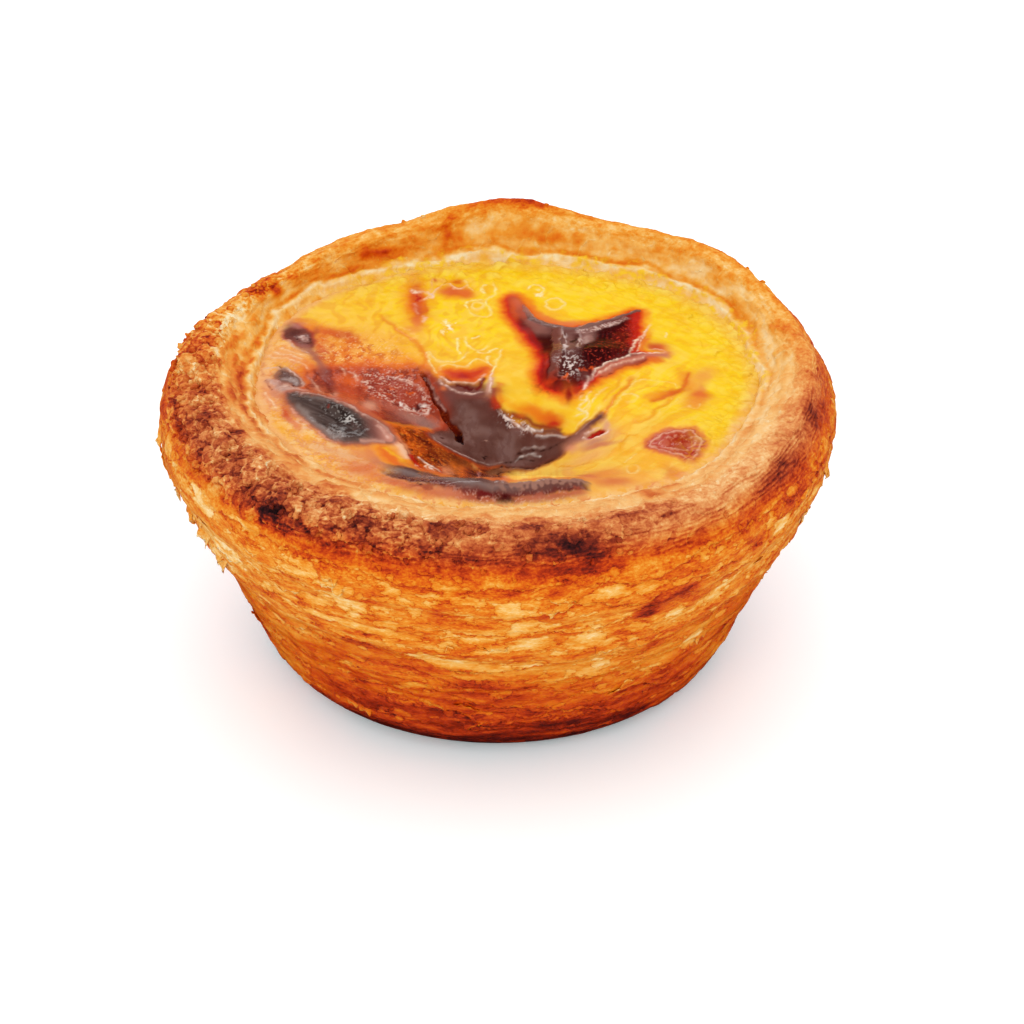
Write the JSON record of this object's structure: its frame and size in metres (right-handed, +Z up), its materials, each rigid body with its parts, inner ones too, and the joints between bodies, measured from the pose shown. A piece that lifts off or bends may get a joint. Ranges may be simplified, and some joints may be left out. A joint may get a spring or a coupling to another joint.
{
  "type": "portuguese custard tart",
  "caption": "Small steep-sided tart: a laminated pastry case baked brown at its rolled rim, filled with glossy yellow custard with burnt caramel patches.",
  "frame": {"origin": "middle of the flat underside that the tart rests on, under the centre of its bounding box", "axes": "+Z up through the custard; -Y the front shown in the picture; +X to that view's right"},
  "size_m": [0.0742, 0.074, 0.0352],
  "materials": {
    "pastry": "baked laminated pastry: golden, browned to dark brown on the rim, satin with buttery gloss low on the side",
    "custard": "glossy baked egg custard, yellow to orange, with dark brown and black caramelised patches"
  },
  "bodies": {
    "root": {"pastry_case": "pastry", "custard": "custard"}
  },
  "joints": []
}
